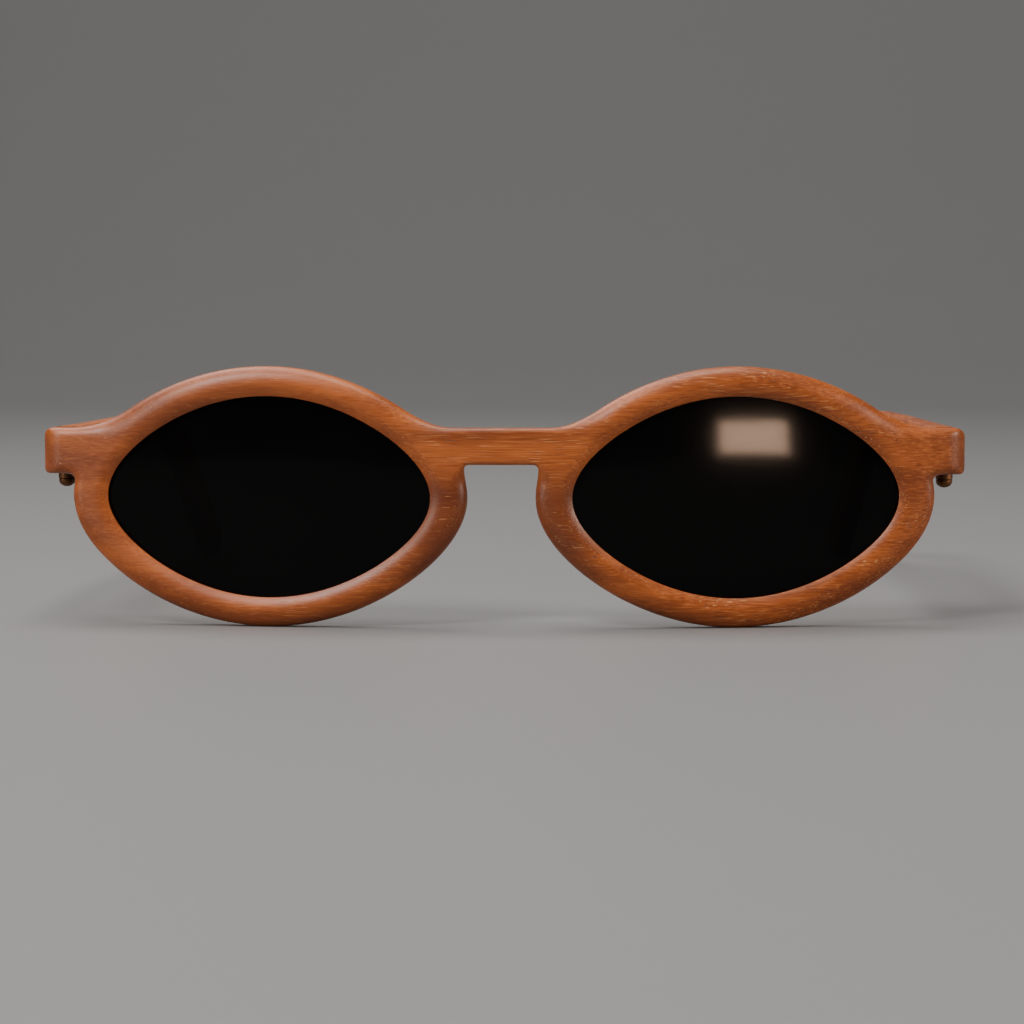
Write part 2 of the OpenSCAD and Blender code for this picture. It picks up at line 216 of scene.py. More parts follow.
def wood(name, along):
    """Reddish-brown open-pored wood whose grain runs along x or y."""
    n = Nodes(name)
    across_front = along == "x"
    tilt = (0, 2.5, 0) if across_front else (2.0, 0, 1.5)
    # the front is bent from a blank, so its grain follows part of the curve
    follow = 0.55 if across_front else 0.0

    def layer(length, width, depth, shift, **values):
        """Noise with features of a length along the grain, and a width and depth across it."""
        stretch = [1 / length, 1 / width, 1 / depth]
        if not across_front:
            stretch = [stretch[1], stretch[0], stretch[2]]
        return n.noise(n.place(stretch, tilt, shift, follow), **values)

    # slow change of tone along the board, and growth bands across it
    cloud = layer(30, 8, 8, (0, 0, 0), detail=2)
    rings = layer(60, 2.2, 3.2, (3, 1, 7), detail=3, rough=0.5, distort=0.4)
    fibre = layer(6, 0.17, 0.2, (1, 5, 2), detail=3, rough=0.6)
    # open pores: dark dashes with pale flecks between them
    where = n.band(layer(9, 2.5, 3, (2, 9, 6), detail=1), 0.45, 0.62, 0.12, 1.0)
    # the front's grain is fainter, and its dashes fewer, towards the wearer's right
    figure = 1.0
    if across_front:
        where = n.math("MULTIPLY", where, n.band(n.axis("X"), -40 * MM, 50 * MM, 0.3, 1.0))
        figure = n.band(n.axis("X"), -50 * MM, 30 * MM, 0.6, 1.0)
    pores = n.band(layer(5.0, 0.14, 0.18, (8, 3, 4), detail=1, rough=0.4), 0.67, 0.73)
    pores = n.math("MULTIPLY", pores, where)
    flecks = n.band(layer(4.2, 0.11, 0.14, (5, 11, 1), detail=1, rough=0.4), 0.65, 0.72)
    flecks = n.math("MULTIPLY", flecks, where)

    colour = n.mix(n.band(cloud, 0.34, 0.66), DARK_WOOD, LIGHT_WOOD)
    colour = n.mix(n.band(rings, 0.36, 0.68, 0.0, 0.55), colour, RING)
    dark_share = n.math("MULTIPLY", n.band(fibre, 0.28, 0.5, 0.72, 0.0), figure)
    light_share = n.math("MULTIPLY", n.band(fibre, 0.5, 0.72, 0.0, 0.55), figure)
    colour = n.mix(dark_share, colour, DARK_FIBRE)
    colour = n.mix(light_share, colour, LIGHT_FIBRE)
    if across_front:
        # painted shade: darker beside the nose and under the bridge, where the nasal sides face away
        # from the light above
        near_nose = n.band(n.math("ABSOLUTE", n.axis("X")), 10 * MM, 18 * MM, 1.0, 0.0)
        below = n.band(n.axis("Z"), 20 * MM, 26.5 * MM, 0.72, 0.0)
        colour = n.mix(n.math("MULTIPLY", near_nose, below), colour, PAINTED_NOSE_SHADE)
    colour = n.mix(n.math("MULTIPLY", flecks, 0.62), colour, FLECK)
    colour = n.mix(n.math("MULTIPLY", pores, 0.75), colour, PORE)
    n.set("Base Color", colour)
    matt_fibre = n.band(fibre, 0.2, 0.8, 0.34, 0.46)
    n.set("Roughness", n.math("ADD", matt_fibre, n.math("MULTIPLY", pores, 0.25)))
    n.set("IOR", 1.46)
    height = n.math("SUBTRACT", n.math("MULTIPLY", fibre, 0.35), pores)
    n.set("Normal", n.bump(height, GRAIN_DEPTH * MM, 0.85))
    return n.material


def metal(name, dark, light, rough):
    """Worn plated metal: slightly brighter where the noise says the plating is rubbed."""
    n = Nodes(name)
    wear = n.noise(n.place((0.35, 0.35, 0.35)), detail=5, rough=0.7)
    scratches = n.noise(n.place((4, 4, 4), (0, 0, 20), (4, 2, 9)), detail=2)
    n.set("Base Color", n.mix(n.band(wear, 0.25, 0.75), dark, light))
    n.set("Metallic", 1.0)
    rubbed = n.band(wear, 0.3, 0.7, rough, rough + 0.1)
    n.set("Roughness", n.math("ADD", rubbed, n.math("MULTIPLY", scratches, 0.08)))
    n.set("Normal", n.bump(scratches, SCRATCH_DEPTH * MM, 0.5))
    return n.material


def tinted_lens(name):
    """Near-black lens that lets a little light through, with a faint coating haze."""
    n = Nodes(name)
    haze = n.noise(n.place((0.05, 0.05, 0.05)), detail=2)
    n.set("Base Color", n.mix(haze, (0.0006, 0.0006, 0.0007), (0.0016, 0.0015, 0.0014)))
    n.set("Roughness", n.band(haze, 0.2, 0.8, 0.09, 0.104))
    n.set("IOR", 1.5)
    n.set("Specular IOR Level", 0.065)
    n.set("Alpha", 0.94)
    return n.material


wood_front = wood("wood_front", "x")
wood_arm = wood("wood_arm", "y")
bronze = metal("aged_bronze", (0.095, 0.045, 0.022), (0.17, 0.08, 0.038), 0.42)
screw_metal = metal("screw_metal", (0.3, 0.26, 0.21), (0.42, 0.37, 0.3), 0.26)
spring_metal = metal("spring_metal", (0.42, 0.42, 0.43), (0.6, 0.6, 0.62), 0.2)
smoke = tinted_lens("smoke_lens")


# ---------------------------------------------------------------- meshes
# the least length and area that count, how near points merge, and points per batch
TINY, SLIVER, MERGE, BATCH = 1e-6, 1e-9, 1e-5, 1500


def make_piece(name, verts, faces, material, body, nodes, sharp=None):
    """A mesh from vertices in mm, which rides a body and replaces CAD nodes."""
    mesh = bpy.data.meshes.new(name)
    mesh.from_pydata([tuple(c * MM for c in v) for v in verts], [], faces)
    mesh.validate()
    mesh.shade_smooth()
    mesh.materials.append(material)
    piece = bpy.data.objects.new(name, mesh)
    bpy.context.collection.objects.link(piece)
    if sharp:
        mesh.set_sharp_from_angle(angle=math.radians(sharp))
    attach(piece, body)
    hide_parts(*nodes)
    return piece


def oval(angle, a, b, pinch):
    """A point of a pinched oval: a and b are its half axes, and pinch draws its ends in."""
    c, s = math.cos(angle), math.sin(angle)
    return (LENS_X + a * c, b * s * (1 - pinch * c * c))


def rim_point(degrees):
    """A point of the rim's outer edge, pinched differently over, under and beside the lens."""
    t = math.radians(degrees)
    c, s = math.cos(t), math.sin(t)
    a = LENS_W / 2 + (RIM_TEMPLE if c > 0 else RIM_NOSE)
    b = LENS_H / 2 + (RIM_TOP if s > 0 else RIM_BOTTOM)
    pinch = PINCH_NOSE if c < 0 else PINCH_TOP if s > 0 else PINCH_UNDER
    return oval(t, a, b, pinch)


def lens_point(angle, grow=0.0, share=1.0):
    """A point of the lens opening, grown by a margin and shrunk to a share of its size."""
    return oval(angle, (LENS_W / 2 + grow) * share, (LENS_H / 2 + grow) * share, PINCH_LENS)


def bezier(points, n):
    """n + 1 points along the curve with these control points."""
    out = []
    for i in range(n + 1):
        t, level = i / n, [np.array(p, float) for p in points]
        while len(level) > 1:
            level = [p * (1 - t) + q * t for p, q in zip(level, level[1:])]
        out.append(tuple(level[0]))
    return out


def arc(cx, cy, r, start, end, n):
    """n + 1 points round a centre, between two angles in degrees."""
    angles = [math.radians(start + (end - start) * i / n) for i in range(n + 1)]
    return [(cx + r * math.cos(a), cy + r * math.sin(a)) for a in angles]


def half_outline():
    """The +x half of the front's outline, in (x, height over the lens centre)."""
    low = rim_point(180)
    notch_end = BRIDGE_UNDER - NOTCH_R - NOTCH_STRAIGHT
    end_inner = LENS_X + LENS_W / 2 + RIM_TEMPLE
    parts = [
        [(0.0, BRIDGE_UNDER)],
        arc(NOTCH_HALF - NOTCH_R, BRIDGE_UNDER - NOTCH_R, NOTCH_R, 90, 0, 8),
        bezier([(NOTCH_HALF, notch_end), (NOTCH_HALF, BRIDGE_UNDER - NOTCH_HANDLE),
                (low[0], low[1] + RIM_HANDLE), low], 16),
        [rim_point(t) for t in range(181, 360 + UNDER_END)],
        bezier([rim_point(UNDER_END), (end_inner + UNDER_RUN[0], END_UNDER),
                (end_inner + UNDER_RUN[1], END_UNDER)], 12),
        arc(HALF_W - END_UNDER_R, END_UNDER + END_UNDER_R, END_UNDER_R, -90, 0, 8),
        arc(HALF_W - END_TOP_R, END_TOP - END_TOP_R, END_TOP_R, 0, 90, 10),
        bezier([(LENS_X + SHOULDER_RUN[0], END_TOP), (LENS_X + SHOULDER_RUN[1], END_TOP),
                rim_point(SHOULDER)], 20),
        [rim_point(t) for t in range(SHOULDER + 1, BRIDGE)],
        bezier([rim_point(BRIDGE), (LENS_X - BRIDGE_RUN[1], BRIDGE_TOP),
                (LENS_X - BRIDGE_RUN[0], BRIDGE_TOP)], 20),
        [(0.0, BRIDGE_TOP)],
    ]
    return [p for part in parts for p in part]


def resample(points, spacing, closed=False):
    """The same line with evenly spaced points."""
    line = np.array(points + ([points[0]] if closed else []), float)
    step = np.linalg.norm(np.diff(line, axis=0), axis=1)
    line = line[np.concatenate([[True], step > TINY])]
    run = np.concatenate([[0], np.cumsum(np.linalg.norm(np.diff(line, axis=0), axis=1))])
    at = np.linspace(0, run[-1], int(round(run[-1] / spacing)) + 1)
    even = np.stack([np.interp(at, run, line[:, 0]), np.interp(at, run, line[:, 1])], 1)
    return even[:-1] if closed else even


def distance_to(points, line):
    """Distance of each point from a polyline, worked out for a batch of points at a time."""
    starts = line[:-1]
    along = line[1:] - starts
    squares = (along ** 2).sum(1) + TINY ** 2
    out = np.empty(len(points))
    for i in range(0, len(points), BATCH):
        p = points[i:i + BATCH, None, :]
        t = np.clip(((p - starts) * along).sum(2) / squares, 0, 1)
        near = starts + t[..., None] * along
        out[i:i + BATCH] = np.sqrt(((p - near) ** 2).sum(2)).min(1)
    return out


def inside(points, loop):
    """Which points lie inside a closed loop."""
    x, y = points[:, 0], points[:, 1]
    hit = np.zeros(len(points), bool)
    for (ax, ay), (bx, by) in zip(loop, np.roll(loop, -1, axis=0)):
        if ay != by:
            crosses = (ay > y) != (by > y)
            hit ^= crosses & (x < (bx - ax) * (y - ay) / (by - ay) + ax)
    return hit


def lefts(line, closed):
    """Unit normals to the left of the direction of travel, where the wood is."""
    if closed:
        travel = np.roll(line, -1, 0) - np.roll(line, 1, 0)
    else:
        # the open line leaves the middle of the glasses, and meets it again, square on
        travel = np.gradient(line, axis=0)
        travel[0], travel[-1] = (1, 0), (-1, 0)
    travel /= np.linalg.norm(travel, axis=1, keepdims=True)
    return np.stack([-travel[:, 1], travel[:, 0]], 1)


def blank_y(x, w, depth):
    """y of a point at a depth behind the front face of the curved, leaning blank."""
    sag = WRAP_R - np.sqrt((WRAP_R - depth) ** 2 - x ** 2)
    return Y0 + (sag - w * math.sin(LEAN)) / math.cos(LEAN)


# how wide and how deep each edge is rounded over: rims, bridge, end pieces, their outer
# corners, and round the lens
OUT_W, OUT_D = 3.0, 1.95
BRIDGE_W, BRIDGE_D = 0.9, 0.65
END_W, END_D = 1.5, 1.1
CORNER_W, CORNER_D = 3.0, 2.3
IN_W, IN_D = 2.2, 0.8
ROUND_BACK, ROUND_BACK_END, ROUND_BACK_IN = 1.3, 0.35, 0.5
RING_ANGLES = [math.radians(a) for a in range(0, 91, 9)]
# where one rounding gives way to the next, and over what distance
BRIDGE_END, BRIDGE_FADE, UNDER_FADE = 7, 9, 3
END_START, END_FADE = 61, 6
BACK_END_X, BACK_END_FADE = 61.5, 1.5
# the thick block behind each end piece: where it starts, and how far its sides run out
BLOCK_X, BLOCK_RUN, BLOCK_DROP, BLOCK_RISE = 61.2, 1.3, 1.6, 1.4
# the nose rest: its middle, its half axes, its height, and how steep its sides are
NOSE_X, NOSE_W, NOSE_HALF_X, NOSE_HALF_W = 7.2, -4.5, 4.6, 8.6
NOSE_RISE, NOSE_STEEP = 1.75, 1.2
# the mesh: spacing along the edges and over the face, the least gap between points, how
# much a ring may fall short at a tight curve, and the room round the rings
EDGE_STEP, FACE_STEP, FACE_START = 0.5, 0.8, 0.45
GAP_MIN, RING_SLACK, RING_ROOM, CORNER_ROOM = 0.12, 0.012, 0.28, 0.1
# the finer mesh at the block: its steps, and how far it reaches past where the block starts,
# past that under the end piece, and below and above the end piece's underside
BLOCK_STEP, UNDER_STEP, CORNER_STEP = 0.26, 0.25, 0.25
BLOCK_REACH, UNDER_REACH, UNDER_LOW, UNDER_HIGH, CORNER_LOW = 1.6, 4, 1.8, 0.3, 0.2
NEWTON_STEPS = 6


def along_front(x, w, bridge, rim, end):
    """A value that changes from the bridge to the rims, and from them to the end pieces."""
    beside = 1 - smooth((np.abs(x) - BRIDGE_END) / BRIDGE_FADE)
    on_bridge = beside * smooth((w - BRIDGE_UNDER + UNDER_FADE) / UNDER_FADE)
    on_end = smooth((np.abs(x) - END_START) / END_FADE)
    return rim + (bridge - rim) * on_bridge + (end - rim) * on_end


def front_width(x, w):
    return along_front(x, w, BRIDGE_W, OUT_W, END_W)


def front_depth(x, w):
    return along_front(x, w, BRIDGE_D, OUT_D, END_D)


def round_back(x, w):
    """Radius of the back's outer edge, which is sharper round the block of the end piece."""
    beyond = smooth((np.abs(x) - BACK_END_X) / BACK_END_FADE)
    above = smooth((w - END_UNDER + BACK_END_FADE) / BACK_END_FADE)
    return ROUND_BACK + (ROUND_BACK_END - ROUND_BACK) * (beyond * above)


def eased(distance, width, depth):
    """How far an elliptically rounded edge falls away at a distance inside the edge."""
    t = np.clip(1 - distance / width, 0, 1)
    return depth * (1 - np.sqrt(1 - t * t))


def sloped(distance, width, depth):
    """Like eased, but the edge ends in a slope and doesn't turn all the way over."""
    return depth * np.clip(1 - distance / width, 0, 1) ** 2


def back_y(x, w):
    """y of the back, with the nose rest and the end piece's block raised from the blank."""
    nose = 1 - ((x - NOSE_X) / NOSE_HALF_X) ** 2 - ((w - NOSE_W) / NOSE_HALF_W) ** 2
    y = blank_y(x, w, FRONT_T + NOSE_RISE * smooth(np.clip(nose, 0, 1) * NOSE_STEEP))
    block = smooth((x - BLOCK_X) / BLOCK_RUN) * smooth((w - END_UNDER + BLOCK_DROP) / BLOCK_RISE)
    return y + (FACE_Y - y) * block


def edge_rings(outer, inner):
    """Rings of points inside the outline and round the lens, where the edges are rounded."""
    inner_line = np.vstack([inner, inner[:1]])
    rings = []
    for line, closed, this, other in ((outer, False, outer, inner_line),
                                      (inner, True, inner_line, outer)):
        normal = lefts(line, closed)
        width = IN_W if closed else front_width(line[:, 0], line[:, 1])
        # where the two edges' rings would meet, each keeps its own side
        share = OUT_W / (OUT_W + IN_W) if closed else IN_W / (OUT_W + IN_W)
        for angle in RING_ANGLES[1:]:
            s = np.atleast_1d(width * (1 - math.cos(angle)))
            ring = line + normal * s.reshape(-1, 1)
            keep = (distance_to(ring, this) > s - RING_SLACK) & (ring[:, 0] > GAP_MIN)
            keep &= distance_to(ring, other) > GAP_MIN + s * share / (1 - share)
            rings.append(ring[keep])
    return rings


def grid(xs, ws):
    """Every pair of an x and a height."""
    x, w = np.meshgrid(xs, ws)
    return np.stack([x.ravel(), w.ravel()], 1)


def face_points(outer, inner, region):
    """Points on the flat stretches between the rings, closer together round the block."""
    staggered = np.array([(x + (FACE_STEP / 2 if j % 2 else 0), w)
                          for j, w in enumerate(np.arange(-LENS_H, LENS_H, FACE_STEP))
                          for x in np.arange(FACE_START, HALF_W, FACE_STEP)])
    block_top = BLOCK_X + BLOCK_REACH
    corner_x = HALF_W - CORNER_W - CORNER_ROOM
    points = np.vstack([
        staggered,
        grid(np.arange(BLOCK_X, block_top, BLOCK_STEP),
             np.arange(END_UNDER - BLOCK_DROP, END_TOP, FACE_STEP / 2)),
        grid(np.arange(block_top, block_top + UNDER_REACH, FACE_STEP / 2),
             np.arange(END_UNDER - UNDER_LOW, END_UNDER + UNDER_HIGH, UNDER_STEP)),
        grid(np.arange(corner_x, HALF_W - CORNER_ROOM, CORNER_STEP),
             np.arange(END_UNDER + CORNER_LOW, END_TOP, EDGE_STEP)),
    ])
    points = points[inside(points, region) & ~inside(points, inner)]
    at_corner = points[:, 0] > corner_x - CORNER_ROOM
    margin = np.where(at_corner, CORNER_ROOM, front_width(points[:, 0], points[:, 1]))
    from_out = distance_to(points, outer) - margin
    from_in = distance_to(points, np.vstack([inner, inner[:1]])) - IN_W
    return points[(from_out > RING_ROOM) & (from_in > RING_ROOM)]


def middle_line():
    """Points up the line x = 0, where the two halves of the bridge meet."""
    halfway = (BRIDGE_TOP + BRIDGE_UNDER) / 2
    steps = [BRIDGE_W * (1 - math.cos(a)) for a in RING_ANGLES[1:]]
    heights = [BRIDGE_UNDER + s for s in steps] + [halfway] + [BRIDGE_TOP - s for s in steps[::-1]]
    return np.array([(0.0, w) for w in heights])


def flat_front(outer, inner):
    """Triangles over half of the front's pattern.

    Also returns where each point of the outline and of the lens opening went.
    """
    middle = middle_line()
    region = np.vstack([outer, [[0.0, BRIDGE_TOP], [0.0, BRIDGE_UNDER]]])
    points = np.vstack([outer, inner, middle] + edge_rings(outer, inner)
                       + [face_points(outer, inner, region)])
    n_out, n_in = len(outer), len(inner)
    chain = [0] + [n_out + n_in + i for i in range(len(middle))] + [n_out - 1]
    edges = [(i, i + 1) for i in range(n_out - 1)]
    edges += [(n_out + i, n_out + (i + 1) % n_in) for i in range(n_in)]
    edges += list(zip(chain, chain[1:]))
    coords, _, tris, origin, _, _ = delaunay_2d_cdt([Vector(p) for p in points], edges, [], 0, MERGE)
    flat = np.array([tuple(c) for c in coords])
    tris = np.array([t for t in tris if len(t) == 3])
    centre = flat[tris].mean(1)
    tris = tris[inside(centre, region) & ~inside(centre, inner)]
    a, b, c = flat[tris[:, 0]], flat[tris[:, 1]], flat[tris[:, 2]]
    area = (b[:, 0] - a[:, 0]) * (c[:, 1] - a[:, 1]) - (b[:, 1] - a[:, 1]) * (c[:, 0] - a[:, 0])
    tris[area < 0] = tris[area < 0][:, ::-1]
    tris = tris[np.abs(area) > SLIVER]
    new_of = {old: new for new, olds in enumerate(origin) for old in olds}
    return flat, tris, [new_of[i] for i in range(n_out)], [new_of[n_out + i] for i in range(n_in)]


def lens_angles(line):
    """The oval's angle at each point of the lens opening, by Newton's method."""
    angles = []
    for px, pw in line:
        angle = math.atan2(pw / (LENS_H / 2), (px - LENS_X) / (LENS_W / 2))
        for _ in range(NEWTON_STEPS):
            c, s = math.cos(angle), math.sin(angle)
            x, w = lens_point(angle)
            dx = -LENS_W / 2 * s
            dw = LENS_H / 2 * (c * (1 - PINCH_LENS * c * c) + 2 * PINCH_LENS * c * s * s)
            angle += ((px - x) * dx + (pw - w) * dw) / (dx ** 2 + dw ** 2)
        angles.append(angle)
    return angles


def wall(rows, closed):
    """Faces between rows of vertices that run from the front of an edge to its back."""
    faces = []
    for front, back in zip(rows, rows[1:]):
        for i in range(len(front) - (0 if closed else 1)):
            j = (i + 1) % len(front)
            faces.append((front[i], back[i], back[j], front[j]))
    return faces


def with_mirror_image(verts, faces):
    """Adds the other half, which shares the vertices at x = 0."""
    whole = list(verts)
    twin = {}
    for i, (x, y, z) in enumerate(verts):
        if abs(x) < TINY:
            twin[i] = i
        else:
            twin[i] = len(whole)
            whole.append((-x, y, z))
    return whole, faces + [tuple(twin[i] for i in face[::-1]) for face in faces]


def build_front():
    """The carved one-piece front: both faces, the outer edge, and a groove round each lens."""
    outer = resample(half_outline(), EDGE_STEP)
    loop = [lens_point(math.radians(-t)) for t in range(0, 360, 1)]
    inner = resample(loop, EDGE_STEP, closed=True)
    flat, tris, out_ids, in_ids = flat_front(outer, inner)

    # heights of the two faces over the flat pattern
    x, w = flat[:, 0], flat[:, 1]
    from_out = distance_to(flat, outer)
    from_in = distance_to(flat, np.vstack([inner, inner[:1]]))
    from_out[out_ids] = 0
    from_in[in_ids] = 0
    fall_front = eased(from_out, front_width(x, w), front_depth(x, w)) + sloped(from_in, IN_W, IN_D)
    fall_front = np.hypot(fall_front, eased(HALF_W - x, CORNER_W, CORNER_D))
    radius = round_back(x, w)
    fall_back = eased(from_out, radius, radius) + eased(from_in, ROUND_BACK_IN, ROUND_BACK_IN)
    y_front = blank_y(x, w, 0.0) + fall_front
    y_back = back_y(x, w) - fall_back
    n = len(flat)
    verts = [(px, py, LENS_Z + pw) for px, py, pw in zip(x, y_front, w)]
    verts += [(px, py, LENS_Z + pw) for px, py, pw in zip(x, y_back, w)]
    faces = [tuple(int(i) for i in t) for t in tris]
    faces += [tuple(int(i) + n for i in t[::-1]) for t in tris]

    def row(line, ys):
        start = len(verts)
        verts.extend((px, float(py), LENS_Z + pw) for (px, pw), py in zip(line, ys))
        return list(range(start, len(verts)))

    halfway = y_front[out_ids] + (y_back[out_ids] - y_front[out_ids]) * 0.5
    faces += wall([out_ids, row(outer, halfway), [i + n for i in out_ids]], closed=False)
    angles = lens_angles(inner)
    groove = []
    for grow, depth in ((0, GROOVE_FRONT - GROOVE_SLOPE), (GROOVE, GROOVE_FRONT),
                        (GROOVE, GROOVE_BACK), (0, GROOVE_BACK + GROOVE_SLOPE)):
        line = np.array([lens_point(a, grow) for a in angles]) if grow else inner
        groove.append(row(line, blank_y(line[:, 0], line[:, 1], depth)))
    faces += wall([in_ids] + groove + [[i + n for i in in_ids]], closed=True)

    verts, faces = with_mirror_image(verts, faces)
    return make_piece("front_carved", verts, faces, wood_front, "front",
                      ["frame_front"], sharp=52)


build_front()


# ---------------------------------------------------------------- lenses
# the lens's gap to the rim, the depths of its two faces at the edge, and how far they bulge
LENS_FIT, LENS_FRONT, LENS_BACK = 0.06, 1.4, 3.0
DOME_FRONT, DOME_BACK = 1.15, 0.95
TONGUE, TONGUE_FRONT, TONGUE_BACK, TONGUE_SLOPE = 0.8, 1.6, 2.4, 0.02
LENS_AROUND, LENS_RINGS = 180, 22


def build_lens(side, name, node):
    """A domed lens on the blank's curve, with the tongue that sits in the groove."""
    verts, faces = [], []

    def ring(share, grow, depth):
        row = []
        for k in range(LENS_AROUND):
            x, w = lens_point(2 * math.pi * k / LENS_AROUND, grow, share)
            row.append(len(verts))
            verts.append((side * x, float(blank_y(x, w, depth)), LENS_Z + w))
        return row

    def add_face(*corners):
        faces.append(corners if side == LEFT else corners[::-1])

    shares = [math.sin(math.pi / 2 * i / LENS_RINGS) for i in range(1, LENS_RINGS + 1)]
    rows = [ring(s, -LENS_FIT, LENS_FRONT - DOME_FRONT * (1 - s ** 2)) for s in shares]
    rows.append(ring(1, -LENS_FIT, TONGUE_FRONT - TONGUE_SLOPE))
    rows.append(ring(1, TONGUE, TONGUE_FRONT))
    rows.append(ring(1, TONGUE, TONGUE_BACK))
    rows.append(ring(1, -LENS_FIT, TONGUE_BACK + TONGUE_SLOPE))
    rows += [ring(s, -LENS_FIT, LENS_BACK - DOME_BACK * (1 - s ** 2)) for s in shares[::-1]]
    for first, second in zip(rows, rows[1:]):
        for k in range(LENS_AROUND):
            j = (k + 1) % LENS_AROUND
            add_face(first[k], second[k], second[j], first[j])
    for row, depth, in_front in ((rows[0], LENS_FRONT - DOME_FRONT, True),
                                 (rows[-1], LENS_BACK - DOME_BACK, False)):
        hub = len(verts)
        verts.append((side * LENS_X, float(blank_y(LENS_X, 0.0, depth)), LENS_Z))
        for k in range(LENS_AROUND):
            pair = (row[k], row[(k + 1) % LENS_AROUND])
            add_face(hub, *(pair if in_front else pair[::-1]))
    return make_piece(name, verts, faces, smoke, "front", [node], sharp=40)


left_lens = build_lens(LEFT, "left_domed_lens", "left_lens")
right_lens = build_lens(RIGHT, "right_domed_lens", "right_lens")


# ---------------------------------------------------------------- arms
# the straight run to the ear, the bend over it, and the rounded tip
STRAIGHT, BEND_R, BEND, TIP_R = 92.0, 38.0, math.radians(42.0), 3.1
JOINT_GAP = 0.15
ARM_Y = FACE_Y + JOINT_GAP
ARM_Z = ARM_UNDER + ARM_H / 2
DROP = ARM_Z - TIP_R
TAIL = (DROP - BEND_R * (1 - math.cos(BEND))) / math.sin(BEND)
BEND_L = BEND_R * BEND
ARM_L = STRAIGHT + BEND_L + TAIL
ARM_T = 4.6
# the hinge's pivot, the arm's inner face, and the sprung housing and its tab let into it
PIVOT = Vector((HALF_W - 2.7, FACE_Y + 3.0, 0.0))
ARM_INNER = HALF_W - ARM_T
HINGE_Z = ARM_UNDER + 2.6
HOUSING_Y, HOUSING_L, HOUSING_H, HOUSING_W = PIVOT.y + 2.2, 13.0, 3.8, 3.2
TAB_T, TAB_L, TAB_H = 0.8, 9.0, 2.6
# the arm's height dips by DIP up to DIP_AT of its length, and grows by FLARE after FLARE_FROM
DIP, DIP_AT, FLARE, FLARE_FROM, TIP_RUN = 1.6, 0.45, 0.9, 0.6, 12
# behind TAPER_FROM the arm bows inwards, and thins by THIN over TAPER_RUN
THIN, TAPER_FROM, TAPER_RUN, BOW = 0.8, 28, 40, 0.0008
# the radii of its edges, and the most of a half side that one may take
EDGE_OUT_R, EDGE_IN_R, EDGE_MOST = 1.45, 1.1, 0.98
# the steps between sections, and how the tip's width closes: a low power keeps it blunt
FIRST_STEP, STEP, BEND_STEP, BEND_LEAD, LAST_GAP = 1.0, 2.0, 1.1, 4, 0.5
TIP_POWER = 0.45
# (distance, how far the section is drawn in) at the chamfered hinge end
HINGE_END = [(0.0, 0.35), (0.12, 0.12), (0.35, 0.0)]
TIP_ANGLES = [math.radians(a) for a in (0, 12, 24, 36, 48, 59, 69, 78, 85)]
# room round the housing, room for the knuckles, and how far a cut starts outside the wood
FIT, KNUCKLE_ROOM, PROUD = 0.05, 1.45, 1


def arm_centre(d):
    """(y, z, angle) of the arm's centre line at a distance along it."""
    if d < STRAIGHT:
        return (d, 0.0, 0.0)
    if d < STRAIGHT + BEND_L:
        a = (d - STRAIGHT) / BEND_R
        return (STRAIGHT + BEND_R * math.sin(a), -BEND_R * (1 - math.cos(a)), a)
    e = d - STRAIGHT - BEND_L
    return (STRAIGHT + BEND_R * math.sin(BEND) + e * math.cos(BEND),
            -BEND_R * (1 - math.cos(BEND)) - e * math.sin(BEND), BEND)


def arm_half_height(d):
    """Half of the arm's height, which turns into the tip's radius over the last stretch."""
    s = min(d / ARM_L, 1.0)
    dip = DIP * math.sin(math.pi / 2 * min(1, s / DIP_AT))
    flare = FLARE * max(0, (s - FLARE_FROM) / (1 - FLARE_FROM)) ** 2
    near_tip = smooth((d - ARM_L + TIP_RUN) / TIP_RUN)
    return (ARM_H - dip + flare) / 2 * (1 - near_tip) + TIP_R * near_tip


def arm_outer(y):
    return HALF_W - BOW * max(0.0, y - TAPER_FROM) ** 2


def arm_thick(y):
    return ARM_T - THIN * math.sin(math.pi / 2 * min(1, max(0, (y - TAPER_FROM) / TAPER_RUN)))


def rounded_section(half_x, half_z, outer_r, inner_r, n=6):
    """A rounded rectangle, from its outer top corner round; x is outwards."""
    points = []
    for sx, sz in ((1, 1), (1, -1), (-1, -1), (-1, 1)):
        r = min(outer_r if sx > 0 else inner_r, half_x * EDGE_MOST, half_z * EDGE_MOST)
        corner = []
        for i in range(n + 1):
            a = math.radians(90 * i / n)
            corner.append((sx * (half_x - r + r * math.sin(a)), sz * (half_z - r + r * math.cos(a))))
        points += corner if sx * sz > 0 else corner[::-1]
    return points


def arm_section(side, d, half_z, inset, squeeze=1.0):
    """The arm's cross-section at a distance along it, square to its centre line."""
    y, z, angle = arm_centre(d)
    half_x = arm_thick(y) / 2
    scale_x = (half_x * squeeze - inset) / half_x
    scale_z = (half_z - inset) / half_z
    points = []
    for out, up in rounded_section(half_x, half_z, EDGE_OUT_R, EDGE_IN_R):
        py = y + up * scale_z * math.sin(angle)
        pz = z + up * scale_z * math.cos(angle)
        middle = arm_outer(py) - arm_thick(py) / 2
        points.append((side * (middle + out * scale_x), ARM_Y + py, ARM_Z + pz))
    return points


def arm_sections(side):
    """Cross-sections from the hinge end to the rounded tip, closer together in the bend."""
    stations = list(HINGE_END)
    d = FIRST_STEP
    while d < ARM_L - LAST_GAP:
        stations.append((d, 0.0))
        d += BEND_STEP if d > STRAIGHT - BEND_LEAD else STEP
    sections = [arm_section(side, d, arm_half_height(d), inset) for d, inset in stations]
    for angle in TIP_ANGLES:
        d = ARM_L + TIP_R * math.sin(angle)
        squeeze = math.cos(angle) ** TIP_POWER
        sections.append(arm_section(side, d, TIP_R * math.cos(angle), 0.0, squeeze))
    return sections


